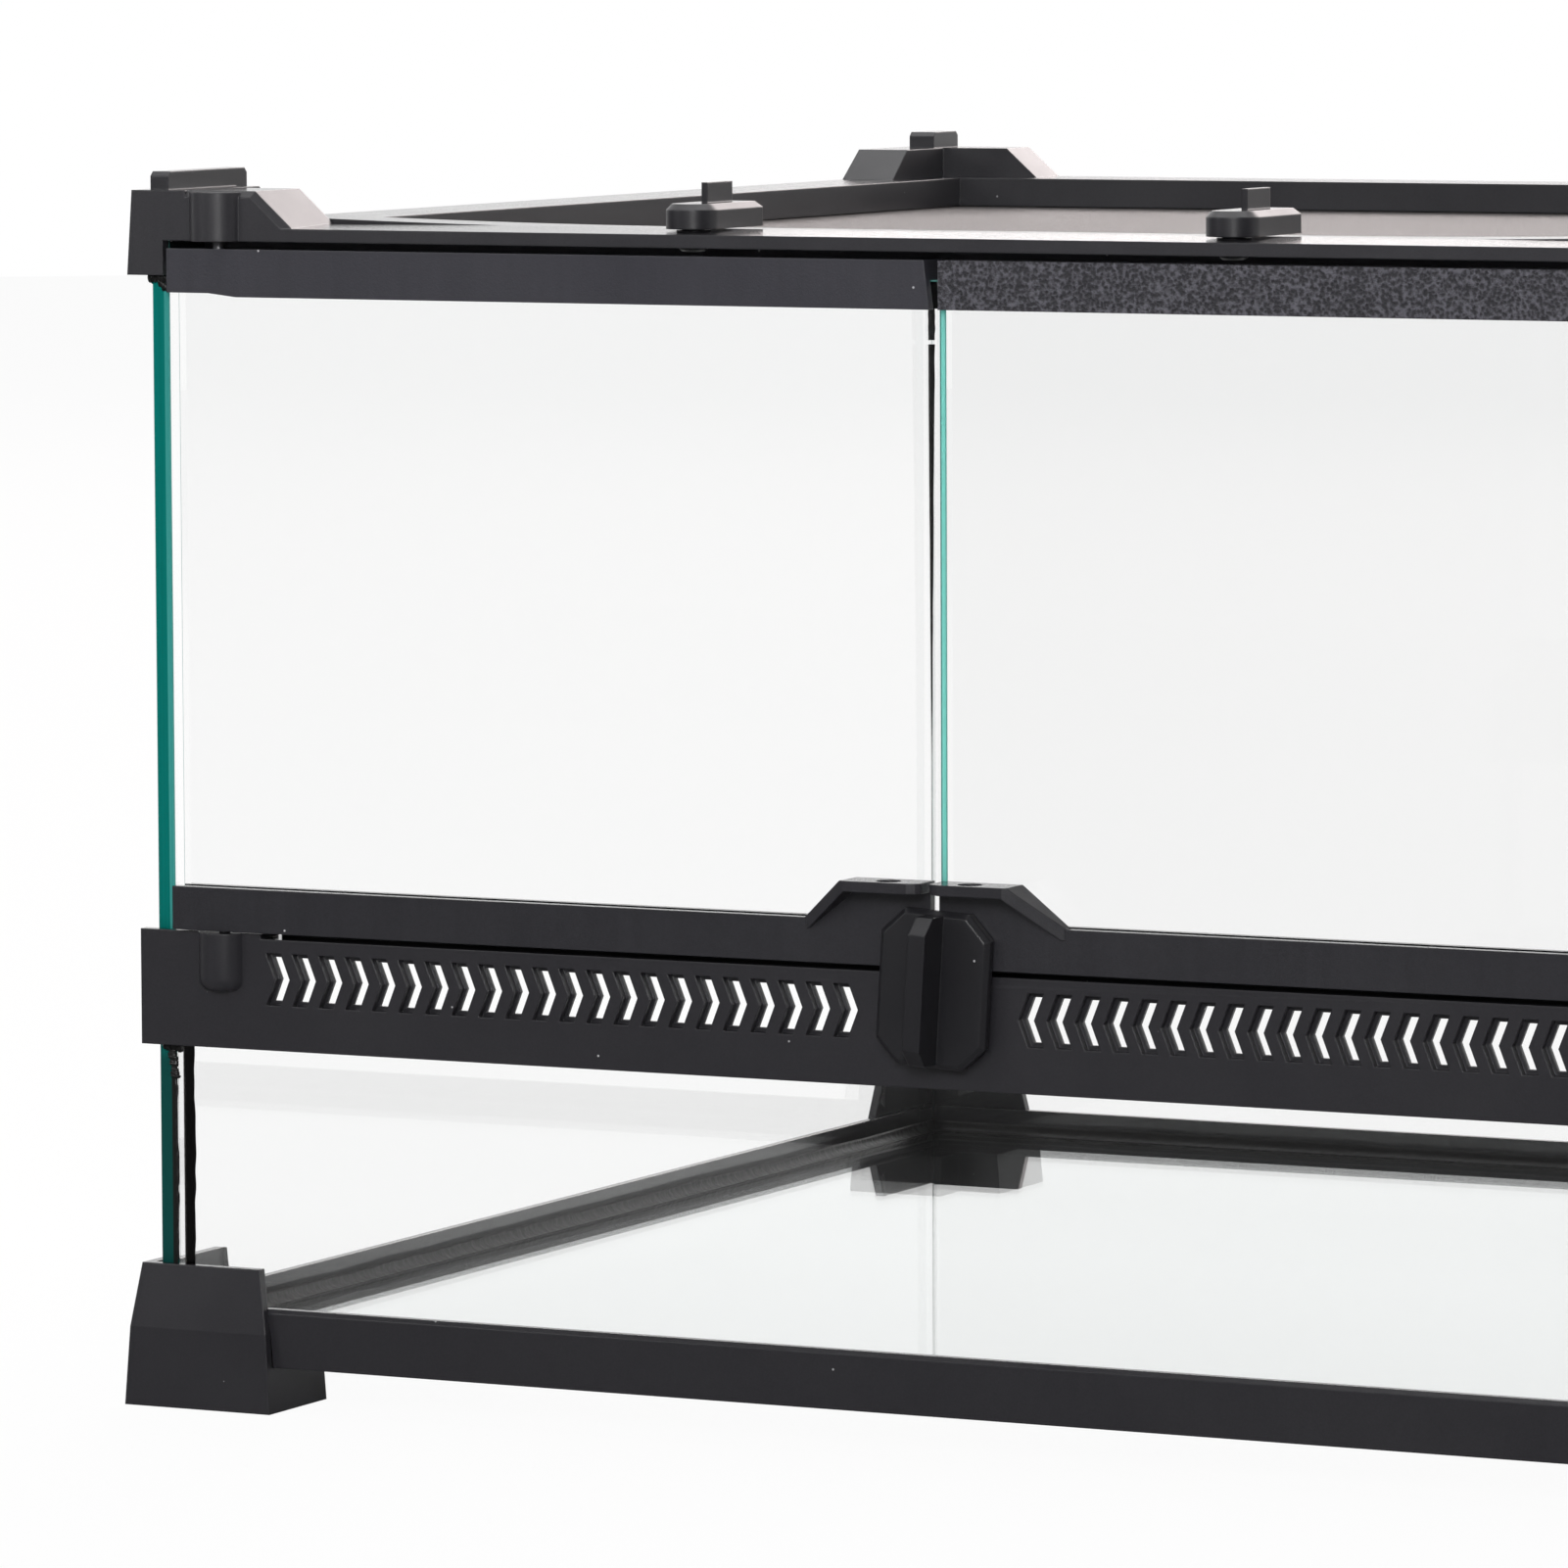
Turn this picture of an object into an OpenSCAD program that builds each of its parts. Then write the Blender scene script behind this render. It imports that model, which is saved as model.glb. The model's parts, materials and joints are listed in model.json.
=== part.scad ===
/* [Tank] */
// Width over the frames
tank_w = 450; // [380:1:600]
// Depth over the frames, front to back
tank_d = 450; // [360:1:600]
// Height of the top rim above the table
rim_z = 299.5; // [270:0.5:450]
// Thickness of every glass pane
glass_t = 5; // [3:0.5:6]
// Gap that glass has in its grooves and corners
glass_gap = 0.2; // [0.1:0.1:0.5]
// Width of the silicone beads inside the corners
bead = 5; // [3:0.5:8]

/* [Feet] */
// Height of the feet
foot_h = 36.3; // [32:0.1:45]
// Height of the seat that carries the bottom rails
foot_seat = 11.5; // [9:0.1:15]
// Height of the line where the foot's slope steepens
foot_waist_z = 20; // [16:0.5:24]
// How far the foot stands out past the frame at the table
foot_flare = 3.8; // [3:0.1:6]
// How far it stands out at the steeper line
foot_waist = 2.7; // [2.2:0.1:2.9]
// Length of each leg of the foot along the frame
foot_leg = 38.5; // [34:0.5:50]
// How much shorter each leg's wall is at its top
foot_lean = 4.5; // [2:0.1:6]
// Width of the foot under the tank
foot_band = 25.5; // [24:0.5:32]
// Wall of the foot
foot_wall = 2.5; // [1.8:0.1:3]
// Depth of the stacking pocket under the foot
pocket_h = 6; // [5:0.5:7]

/* [Bottom rails] */
// Height of the bottom rails
rail_h = 14.8; // [12:0.1:18]
// Wall of the bottom rails and of the outer skirts
skirt_t = 3.2; // [2.4:0.1:3.4]
// Width of the ledge under the floor glass
ledge_w = 12; // [10:0.5:16]
// Thickness of that ledge
ledge_t = 3; // [2:0.1:4]
// Chamfer along the top outer edge of the rails
rail_chamfer = 1; // [0.4:0.1:1.5]

/* [Vent bar] */
// Height of the vent bar's lower edge above the table
vent_z = 92.3; // [70:0.1:120]
// Height of the vent bar
vent_h = 28.2; // [27:0.1:34]
// Depth of the vent bar's ends and flange
vent_depth = 14; // [12:0.5:18]
// Thickness of the flanges and ribs of the vent bar
vent_rib = 2; // [1.5:0.1:2.5]
// Height of the channel that holds the lower front glass
glass_hold = 7.9; // [6:0.1:8]
// Length of the raised pads at the ends of the vent bar
pad_len = 35; // [34:0.5:38]
// Gap between those pads and the doors
pad_gap = 0.4; // [0.3:0.1:0.8]
// Height of the door stop above the vent bar
stop_h = 3; // [2:0.1:4]
// Clearance between the ends of the door stop and the swinging doors
stop_clear = 0.6; // [0.5:0.1:3]
// Thickness of the door stop
stop_t = 1.6; // [1.2:0.1:2]
// Distance from one chevron slot to the next
slot_pitch = 7.618; // [6.5:0.001:10]
// Distance from the centre of the bar to its nearest slots
slot_first = 25.1; // [22:0.1:40]
// Length of plain bar left at each end
slot_end = 39; // [36:0.5:60]
// Height of the slots' middle above the bar's lower edge
slot_mid = 18.1; // [17.5:0.1:18.5]
// Width of a slot
slot_w = 2.4; // [1.5:0.1:2.8]
// Height of a slot
slot_h = 11.1; // [9:0.1:12]
// Sideways reach of a slot's point
slot_lean = 2.2; // [1:0.1:2.8]
// Width of the sunk border round each slot
border = 0.9; // [0.5:0.1:1]
// Depth of that border
border_depth = 2; // [1:0.1:2.2]

/* [Doors] */
// Distance from the frame's side to the hinge axis
hinge_inset = 23.5; // [22:0.5:28]
// Distance from the frame's front face back to the hinge axis
hinge_back = 2; // [1.5:0.1:2.5]
// Diameter of the hinge pins
pin_d = 3; // [2:0.1:3.4]
// Length of a hinge pin inside a door trim
pin_reach = 4; // [3:0.1:4.4]
// Radial running clearance of the pins in the doors
pin_clear = 0.08; // [0.03:0.01:0.1]
// Distance from the frame's side to the end of a door
door_end = 10.3; // [9.8:0.1:11]
// Gap between the two doors
door_split = 2.4; // [1.5:0.1:4]
// Gap between the vent bar and the doors
gap_low = 1.6; // [1:0.1:2.5]
// Gap between the doors and the top frame
gap_high = 1.9; // [1:0.1:2.5]
// How far the door trims stand in front of the frame
trim_proud = 1.5; // [1:0.1:2]
// Thickness of the door trims
trim_t = 10; // [9:0.1:11]
// Height of the bottom trims
trim_low = 11; // [10:0.1:14]
// Height of the top trims
trim_high = 12; // [10:0.1:16]
// Solid part of a trim beyond the edge of the glass
trim_core = 5; // [4.8:0.1:6]
// How far the left door's glass reaches past the end of its trims
glass_reach = 2; // [0:0.1:2.1]
// How far the right door's glass stays back from the end of its trims
glass_back_off = 0.7; // [0.4:0.1:2]
// Slant of the left top trim's free end
trim_slant = 1.4; // [0:0.1:2]
// How much lower edge is cut away at the left top trim's hinge end
trim_nick = 0.9; // [0:0.1:1.5]

/* [Door grips] */
// Width of the grip's flat lip on one door
grip_w = 22.5; // [20:0.5:30]
// Width of the slope beside the lip
grip_slope = 13; // [10:0.5:18]
// Height of the grip above the bottom trim
grip_rise = 10.2; // [10:0.1:14]
// Reach of the lip in front of the frame
grip_reach = 9; // [9:0.1:12]
// Thickness of the lip
grip_t = 2.6; // [2:0.1:3]
// Distance from the middle of the tank to the padlock hole
lock_hole_x = 11; // [9:0.1:13]
// Diameter of the padlock hole
lock_hole_d = 6.2; // [5:0.1:6.4]
// Material in front of the padlock hole
lock_hole_web = 1.3; // [1:0.1:1.5]

/* [Latch] */
// Height of the latch's pivot above the vent bar's lower edge
latch_mid = 14.2; // [14:0.1:14.4]
// Width of the latch plate
latch_w = 29.5; // [24:0.1:29.8]
// Reach of the latch above its pivot
latch_up = 30; // [26:0.1:30.5]
// Reach of the latch below its pivot
latch_down = 8.5; // [7:0.1:12]
// Cut-off at the corners of the plate
latch_cut = 6; // [4:0.1:8]
// Thickness of the plate
latch_t = 3; // [2.5:0.1:4]
// Bevel round the plate's front
latch_bevel = 1.2; // [0.5:0.1:1.5]
// Thickness of the finger fin
fin_t = 4.6; // [3:0.1:6]
// Height of the fin in front of the plate
fin_h = 9.8; // [7:0.1:12]
// Gap between the latch plate and the door trims
latch_gap = 0.6; // [0.4:0.1:1]
// Radius of the latch's shaft
shaft_r = 2.6; // [2:0.1:2.8]
// Lean of the latch at rest, top towards the right
latch_lean = 3.5; // [0:0.5:5]

/* [Top frame] */
// Height of the skirt that covers the top of the glass
skirt_h = 12.1; // [12:0.1:14]
// Thickness of the front rail above the doors
lip_t = 3.3; // [3:0.1:4]
// Depth of the front rail
front_rail = 24; // [23:0.5:26]
// Rise of the front rail from its front to its back edge
front_rise = 0.7; // [0.3:0.1:1]
// Width of the side and rear rails
side_rail = 15; // [14.5:0.5:20]
// Width of the ledge under the screen lid
lid_ledge = 7; // [5:0.5:9]
// Thickness of that ledge
lid_ledge_t = 2.8; // [2:0.1:3]
// Length of a corner block along the front or back of the frame at its foot
block_leg = 45; // [42:0.5:60]
// Length of a corner block along the side of the frame at its foot
side_leg = 48; // [46:0.5:60]
// Height of the front corner blocks above the rim
block_h = 9.3; // [8.5:0.1:12]
// Height of the rear corner blocks above the rim
rear_block_h = 8.3; // [7:0.1:10]
// Bevel along the front edge of the front blocks
block_bevel = 1.6; // [0.5:0.1:2]
// Outward slant of the blocks' side skirts
block_slant = 1.5; // [0.5:0.1:2]
// Radius of the upper hinge bosses
boss_r = 7.2; // [5:0.1:7.5]
// Radius of the lower hinge bosses
low_boss_r = 6.6; // [5:0.1:7]
// Height of the lower hinge bosses
low_boss_h = 13.7; // [12:0.1:15]

/* [Stacking ribs] */
// Thickness of the front ribs
rib_t = 5.2; // [4:0.1:6.5]
// Height of the ribs
rib_h = 4.6; // [3:0.1:4.8]
// Length of the front ribs
rib_front = 39.5; // [30:0.5:41]
// Distance from the frame's side to a front rib
rib_side = 3; // [2.5:0.1:4.5]
// Distance from the front or back of the frame to a rib
rib_end = 3.5; // [2:0.1:4]
// Thickness of the rear ribs
rear_rib_t = 7.8; // [5:0.1:8]
// Length of the rear ribs
rib_rear = 15.9; // [10:0.1:20]
// Distance from the frame's side to a rear rib
rear_rib_side = 6.4; // [5:0.1:6.8]

/* [Screen lid] */
// Width of the lid's side and rear rails
lid_rail = 10; // [8:0.5:14]
// Depth of the lid's front rail
lid_front = 18; // [14:0.5:24]
// Gap round the lid and under it
lid_gap = 0.3; // [0.2:0.1:0.6]
// Upward bow at the ends of the lid's front rail
lid_bow = 2.4; // [0:0.1:3]
// Half length of the straight middle of that rail
bow_start = 80; // [60:1:100]
// Thickness of the net
net_t = 1; // [0.6:0.1:1.2]
// Width of a bar of the net
net_bar = 1.4; // [1:0.1:2]
// Openings of the net in each direction
net_count = 17; // [8:1:17]
// Width of the rebate that holds the net
rebate = 4; // [3:0.5:5]

/* [Lid locks] */
// Distance from the middle of the tank to each lock
lock_x = 73; // [50:1:100]
// Distance from the frame's front face to the lock's pivot
lock_back = 13.5; // [12:0.1:15]
// Radius of the lock's round end
lock_r = 6.75; // [5:0.05:7]
// Length of the lock behind its pivot
lock_len = 24.4; // [20:0.1:30]
// Height of the lock's body
lock_h = 6.2; // [5:0.1:8]
// Chamfer round the top of the lock
lock_chamfer = 1.5; // [0.5:0.1:2]
// Height of the lock's fin
lock_fin_h = 5; // [3:0.1:7]
// Thickness of that fin
lock_fin_t = 1.6; // [1.2:0.1:2.5]
// Length of that fin
lock_fin_len = 13.5; // [8:0.1:15]
// Radius of the lock's pivot
lock_pivot_r = 3; // [2:0.1:3.5]

/* [Hidden] */
$fn = 48;
half_w = tank_w / 2;
slip = 0.3;
bite = 0.01;
black = [0.09, 0.09, 0.1];
clear = [0.75, 0.92, 0.88, 0.35];
steel = [0.6, 0.6, 0.62];
rubber_black = [0.04, 0.04, 0.045];
net_grey = [0.3, 0.3, 0.31];

// Heights and places that follow from the sizes above
rail_top = foot_seat + rail_h;
floor_z = foot_seat + ledge_t;
glass_out = half_w - skirt_t - glass_gap;
glass_in = glass_out - glass_t;
glass_front = skirt_t;
glass_back = tank_d - skirt_t - glass_gap;
vent_top = vent_z + vent_h;
front_glass_top = vent_z + glass_hold;
skirt_z = rim_z - skirt_h;
lip_z = rim_z - lip_t;
pane_top = lip_z + 0.6;
door_low = vent_top + gap_low;
door_high = lip_z - gap_high;
door_w = half_w - door_end - door_split / 2;
trim_front = -trim_proud;
trim_back = trim_front + trim_t;
slot_front = trim_front + (trim_t - glass_t) / 2;
pin_r = pin_d / 2;
hinge_x = half_w - hinge_inset;
pad_top = door_low - pad_gap;
stop_y = trim_back + 0.7;
swing_r = norm([half_w - door_end - hinge_x, trim_back - hinge_back]);
stop_x = hinge_x - 0.8 * swing_r - stop_clear;
block_top = rim_z + block_h;
rear_block_top = rim_z + rear_block_h;
lid_z = skirt_z + lid_ledge_t + lid_gap;
lid_top = rim_z + 0.3;
lid_out = half_w - side_rail - lid_gap;
lid_y0 = front_rail + lid_gap;
lid_y1 = tank_d - side_rail - lid_gap;
latch_z = vent_z + latch_mid;
latch_back = trim_front - latch_gap;
latch_front = latch_back - latch_t;
fin_front = latch_front - fin_h;
lock_seat = rim_z + front_rise;
lock_z = lock_seat + slip;
mid_y = (tank_d + foot_flare + fin_front) / 2;

// Puts the middle of the whole model over the origin
module centred() {
    translate([0, -mid_y, 0]) children();
}

module both_sides() {
    children();
    mirror([1, 0, 0]) children();
}

// Extrudes an outline drawn in X and Z from y0 to y1
module along_y(y0, y1) {
    translate([0, y1, 0]) rotate([90, 0, 0]) linear_extrude(y1 - y0) children();
}

// Extrudes an outline drawn in Y and Z from x0 to x1
module along_x(x0, x1) {
    translate([x0, 0, 0]) rotate([90, 0, 90]) linear_extrude(x1 - x0) children();
}

module box(x0, x1, y0, y1, z0, z1) {
    translate([x0, y0, z0]) cube([x1 - x0, y1 - y0, z1 - z0]);
}

// One level of a foot: a thin slab standing out from the frame's corner by the given amount
module foot_slab(out, leg, band, z) {
    translate([-half_w - out, -out, z]) cube([out + leg, out + band, bite]);
}

// A leg of the foot between two levels, each with its reach past the corner in X and Y
module foot_leg_part(out0, out1, reach0, reach1, z0, z1) {
    hull() {
        foot_slab(out0, reach0.x, reach0.y, z0);
        foot_slab(out1, reach1.x, reach1.y, z1 - bite);
    }
}

// The outside of a foot, an L in plan that narrows towards its top
module foot_body(inset) {
    low = foot_flare - inset;
    mid = foot_waist - inset;
    high = 0.3 - inset;
    waist_lean = foot_lean * (foot_waist_z - foot_seat) / (foot_h - foot_seat);
    for (along = [[1, 0], [0, 1]]) {
        reach = foot_leg * along + foot_band * [along.y, along.x];
        foot_leg_part(low, mid, reach, reach - waist_lean * along, 0, foot_waist_z);
        foot_leg_part(mid, high, reach - waist_lean * along, reach - foot_lean * along,
            foot_waist_z, foot_h);
    }
}

// A corner foot: seat for two rails, leaning outer walls and a pocket for a stacking rib
module foot(rib_x, rib_w, rib_length) {
    color(black) difference() {
        foot_body(0);
        intersection() {
            foot_body(foot_wall);
            box(-tank_w, half_w, -foot_flare, tank_d, foot_seat, foot_h + 1);
        }
        box(-half_w, half_w, 0, tank_d, foot_seat, rail_top);
        box(-glass_out - slip, half_w, glass_front - slip, tank_d, rail_top - bite, foot_h + 1);
        box(-half_w + rib_x - 0.8, -half_w + rib_x + rib_w + 0.8,
            rib_end - 0.8, rib_end + rib_length + 0.8, -1, pocket_h);
    }
}

module foot_front_left() {
    centred() foot(rib_side, rib_t, rib_front);
}

module foot_front_right() {
    centred() mirror([1, 0, 0]) foot(rib_side, rib_t, rib_front);
}

module foot_rear_left() {
    centred() translate([0, tank_d, 0]) mirror([0, 1, 0])
        foot(rear_rib_side, rear_rib_t, rib_rear);
}

module foot_rear_right() {
    centred() translate([0, tank_d, 0]) mirror([0, 1, 0]) mirror([1, 0, 0])
        foot(rear_rib_side, rear_rib_t, rib_rear);
}

// Section of a bottom rail, from its outer face inwards
module rail_section() {
    polygon([[0, foot_seat], [ledge_w, foot_seat], [ledge_w, floor_z], [skirt_t, floor_z],
        [skirt_t, rail_top], [rail_chamfer, rail_top], [0, rail_top - rail_chamfer]]);
}

module bottom_rail_front() {
    color(black) centred() along_x(-half_w, half_w) rail_section();
}

module bottom_rail_rear() {
    color(black) centred() translate([0, tank_d, 0]) mirror([0, 1, 0])
        along_x(-half_w, half_w) rail_section();
}

module side_bottom_rail() {
    color(black) centred() translate([-half_w, 0, 0])
        along_y(ledge_w, tank_d - ledge_w) rail_section();
    color(black) centred() for (y = [skirt_t, tank_d - ledge_w])
        box(-half_w, -half_w + skirt_t - rail_chamfer / 2, y, y + ledge_w - skirt_t, floor_z,
            rail_top - rail_chamfer);
}

module bottom_rail_left() {
    side_bottom_rail();
}

module bottom_rail_right() {
    mirror([1, 0, 0]) side_bottom_rail();
}

module floor_glass() {
    color(clear) centred() box(-glass_in + glass_gap, glass_in - glass_gap,
        glass_front + glass_t + glass_gap, glass_back - glass_t - glass_gap,
        floor_z, floor_z + glass_t);
}

module side_pane() {
    color(clear) centred() box(-glass_out, -glass_in, glass_front, glass_back, floor_z, pane_top);
}

module side_glass_left() {
    side_pane();
}

module side_glass_right() {
    mirror([1, 0, 0]) side_pane();
}

module rear_glass() {
    color(clear) centred() box(-glass_in + glass_gap, glass_in - glass_gap,
        glass_back - glass_t, glass_back, floor_z, pane_top);
}

module front_lower_glass() {
    color(clear) centred() box(-glass_in + glass_gap, glass_in - glass_gap,
        glass_front, glass_front + glass_t, floor_z, front_glass_top - glass_gap);
}

// Section of a silicone bead: a triangle in a corner, its leg as wide as the bead
module bead_section() {
    polygon([[0, 0], [bead, 0], [0, bead]]);
}

// Beads along the floor and up the four inner corners
module silicone_seams() {
    z0 = floor_z + glass_t;
    y0 = glass_front + glass_t;
    y1 = glass_back - glass_t;
    color(rubber_black) centred() union() {
        translate([0, y0, z0]) along_x(-glass_in, glass_in) bead_section();
        translate([0, y1, z0]) mirror([0, 1, 0]) along_x(-glass_in, glass_in) bead_section();
        both_sides() {
            translate([-glass_in, 0, z0]) along_y(y0, y1) bead_section();
            translate([-glass_in, y0, z0]) linear_extrude(vent_z - slip - z0)
                bead_section();
            translate([-glass_in, y1, z0]) mirror([0, 1, 0])
                linear_extrude(skirt_z - z0 - slip) bead_section();
        }
    }
}

// Outline of a chevron that points to +X
module chevron(w, h, lean) {
    polygon([[-w / 2 - lean / 2, h / 2], [-w / 2 + lean / 2, 0], [-w / 2 - lean / 2, -h / 2],
        [w / 2 - lean / 2, -h / 2], [w / 2 + lean / 2, 0], [w / 2 - lean / 2, h / 2]]);
}

// The slots of the left half, each with a sunk border on the front face
module chevron_row() {
    count = floor((half_w - slot_end - slot_first) / slot_pitch) + 1;
    sunk_w = slot_w + 2 * border;
    sunk_h = slot_h + 2.4 * border;
    for (i = [0 : count - 1]) {
        translate([-slot_first - i * slot_pitch, 0, vent_z + slot_mid]) {
            along_y(-1, skirt_t + 1) chevron(slot_w, slot_h, slot_lean);
            along_y(-1, border_depth) chevron(sunk_w, sunk_h, slot_lean * sunk_h / slot_h);
        }
    }
}

// A hinge boss with a rounded lower end, standing on its top face
module low_boss() {
    round_r = low_boss_r / 2;
    translate([-hinge_x, hinge_back, vent_top - low_boss_h]) rotate_extrude() union() {
        translate([0, round_r]) square([low_boss_r, low_boss_h + pad_top - vent_top - round_r]);
        square([low_boss_r - round_r, round_r]);
        translate([low_boss_r - round_r, round_r]) circle(r = round_r);
    }
}

module vent_bar() {
    rib_back = glass_front + glass_t + glass_gap + vent_rib;
    color(black) centred() difference() {
        union() {
            box(-half_w, half_w, 0, skirt_t, vent_z, vent_top);
            box(-glass_in + glass_gap, glass_in - glass_gap, 0, stop_y + stop_t,
                vent_top - vent_rib, vent_top);
            box(-stop_x, stop_x, stop_y, stop_y + stop_t,
                vent_top - bite, vent_top + stop_h);
            box(-glass_in + glass_gap, glass_in - glass_gap, 0, rib_back,
                front_glass_top, front_glass_top + vent_rib);
            box(-glass_in + glass_gap, glass_in - glass_gap, rib_back - vent_rib, rib_back,
                vent_z, front_glass_top + vent_rib);
            both_sides() {
                along_y(0, vent_depth) polygon([[-half_w, vent_z + 2], [-half_w + 2, vent_z],
                    [-half_w + skirt_t, vent_z], [-half_w + skirt_t, vent_top],
                    [-half_w, vent_top]]);
                box(-half_w, -half_w + pad_len, 0, glass_front - slip, vent_top - bite, pad_top);
                box(-glass_in + glass_gap, -half_w + pad_len, 0, stop_y, vent_top - bite, pad_top);
                low_boss();
            }
        }
        both_sides() {
            chevron_row();
            translate([-hinge_x, hinge_back, vent_top - low_boss_h + 3])
                cylinder(r = pin_r + 0.02, h = low_boss_h);
        }
        translate([0, -1, latch_z]) rotate([-90, 0, 0])
            cylinder(r = shaft_r + pin_clear, h = vent_depth);
        box(-glass_out - glass_gap, glass_out + glass_gap, glass_front, glass_front + glass_t + glass_gap,
            vent_z - 1, front_glass_top);
    }
}

// One arm of a corner block, drawn along X from the corner with a sloping end,
// its top and slope moved inwards by inset
module block_end_outline(leg, high, low, inset) {
    run = high + 1.2;
    foot_x = leg - inset * sqrt(run * run + high * high) / high;
    top_x = foot_x - (high - inset) * run / high;
    polygon([[0, low], [0, rim_z + high - inset], [top_x, rim_z + high - inset],
        [foot_x, rim_z - bite], [foot_x, low]]);
}

// Outline in X and Z of a block's side arm, whose skirt slants outwards
module side_arm_outline(high) {
    polygon([[-half_w - block_slant - 0.5, skirt_z], [-half_w - 0.5, rim_z + high],
        [-half_w + side_rail, rim_z + high], [-half_w + side_rail, skirt_z]]);
}

// A stacking rib with its top corners cut off, which also stands on the block's slope
module stacking_rib(x, w, length, high) {
    cut = 1.2;
    top = high + rib_h;
    along_x(-half_w + x, -half_w + x + w) translate([rib_end, rim_z])
        polygon([[0, 1], [0, top - cut], [cut, top], [length - cut, top],
            [length, top - cut], [length, 1]]);
}

// The side arm of a corner block, with its slanting skirt
module side_arm(high) {
    intersection() {
        along_x(-half_w - 3, -half_w + side_rail) block_end_outline(side_leg, high, skirt_z, 0);
        along_y(0, side_leg) side_arm_outline(high);
    }
}

// A front corner block: two arms that meet over the corner, a bevel and its rib
module front_block() {
    side_arm(block_h);
    translate([-half_w, 0, 0]) {
        along_y(block_bevel, front_rail) block_end_outline(block_leg, block_h, lip_z, 0);
        hull() {
            along_y(block_bevel, block_bevel + bite)
                block_end_outline(block_leg, block_h, lip_z, 0);
            along_y(0, bite) block_end_outline(block_leg, block_h, lip_z, block_bevel);
        }
    }
    stacking_rib(rib_side, rib_t, rib_front, block_h);
}

// A rear corner block, drawn at the front and turned round in the frame
module rear_block() {
    side_arm(rear_block_h);
    translate([-half_w, 0, 0])
        along_y(0, side_rail) block_end_outline(block_leg, rear_block_h, lip_z, 0);
    stacking_rib(rear_rib_side, rear_rib_t, rib_rear, rear_block_h);
}

// The ring of the top frame before the corner blocks
module top_ring() {
    difference() {
        box(-half_w, half_w, 0, tank_d, skirt_z, rim_z);
        box(-half_w + side_rail, half_w - side_rail, front_rail, tank_d - side_rail,
            skirt_z + lid_ledge_t, rim_z + 1);
    }
    along_x(-half_w + side_rail, half_w - side_rail)
        polygon([[0, rim_z - bite], [front_rail, rim_z - bite], [front_rail, rim_z + front_rise]]);
}

module top_frame() {
    well = side_rail + lid_ledge;
    relief_x = glass_in - glass_gap - 3;
    color(black) centred() difference() {
        union() {
            top_ring();
            both_sides() {
                front_block();
                translate([0, tank_d, 0]) mirror([0, 1, 0]) rear_block();
                translate([-hinge_x, hinge_back, lip_z])
                    cylinder(r = boss_r, h = block_top - 0.3 - lip_z);
                translate([-lock_x, lock_back, lip_z])
                    cylinder(r = lock_pivot_r + 1.2, h = lock_seat - lip_z);
            }
        }
        box(-half_w + well, half_w - well, front_rail + lid_ledge, tank_d - well,
            skirt_z - 1, block_top + 1);
        box(-glass_in, glass_in, -boss_r - 1, front_rail - skirt_t, skirt_z - 1, lip_z);
        box(-glass_out - glass_gap, glass_out + glass_gap, glass_front,
            glass_front + glass_t, skirt_z - 1, lip_z);
        both_sides() {
            box(-glass_out - glass_gap, -glass_in, glass_front, glass_back + glass_gap,
                skirt_z - 1, pane_top);
            box(-relief_x, -relief_x + 3, side_leg, tank_d - side_leg, skirt_z - 1, lip_z);
            translate([-hinge_x, hinge_back, lip_z - 1])
                cylinder(r = pin_r + 0.02, h = block_h + 1);
            translate([-lock_x, lock_back, lip_z - 1])
                cylinder(r = lock_pivot_r + pin_clear, h = 2 * lip_t + 2);
        }
        box(-glass_in, glass_in, glass_back - glass_t, glass_back + glass_gap,
            skirt_z - 1, pane_top);
    }
}

// Four steel pins, pressed in the bosses and turning in the door trims
module hinge_pins() {
    color(steel) centred() both_sides() {
        translate([-hinge_x, hinge_back, vent_top - low_boss_h + 3])
            cylinder(r = pin_r, h = low_boss_h - 3 + gap_low + pin_reach);
        translate([-hinge_x, hinge_back, door_high - pin_reach])
            cylinder(r = pin_r, h = pin_reach + gap_high + block_h);
    }
}

// Groove for the glass and bore for the pin, taken from a trim
module trim_groove(z0, z1) {
    box(-half_w, half_w, slot_front, slot_front + glass_t, z0, z1);
}

module door_pane(reach) {
    color(clear) centred() box(-half_w + door_end + 2, -door_split / 2 + reach,
        slot_front, slot_front + glass_t, door_low + trim_core, door_high - trim_core);
}

module door_top_trim(slant, nick) {
    z0 = door_high - trim_high;
    color(black) centred() difference() {
        along_y(trim_front, trim_back) translate([-half_w + door_end, 0])
            polygon([[0, z0 + nick], [12, z0 + nick], [20, z0], [door_w, z0],
                [door_w - slant, door_high], [0, door_high]]);
        trim_groove(z0 - 1, door_high - trim_core);
        translate([-hinge_x, hinge_back, door_high - pin_reach - slip])
            cylinder(r = pin_r + pin_clear, h = pin_reach + 1);
    }
}

// Front outline of the grip: a lip and a slope, drawn as a band of even thickness
module grip_band(top) {
    x0 = -door_split / 2;
    x1 = -grip_w;
    x2 = x1 - grip_slope;
    low = top - grip_rise;
    polygon([[x0, top], [x1, top], [x2, low], [x2, low - grip_t], [x2 + grip_t / 2, low - grip_t],
        [x1 + grip_t / 2, top - grip_t], [x0, top - grip_t]]);
}

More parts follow.
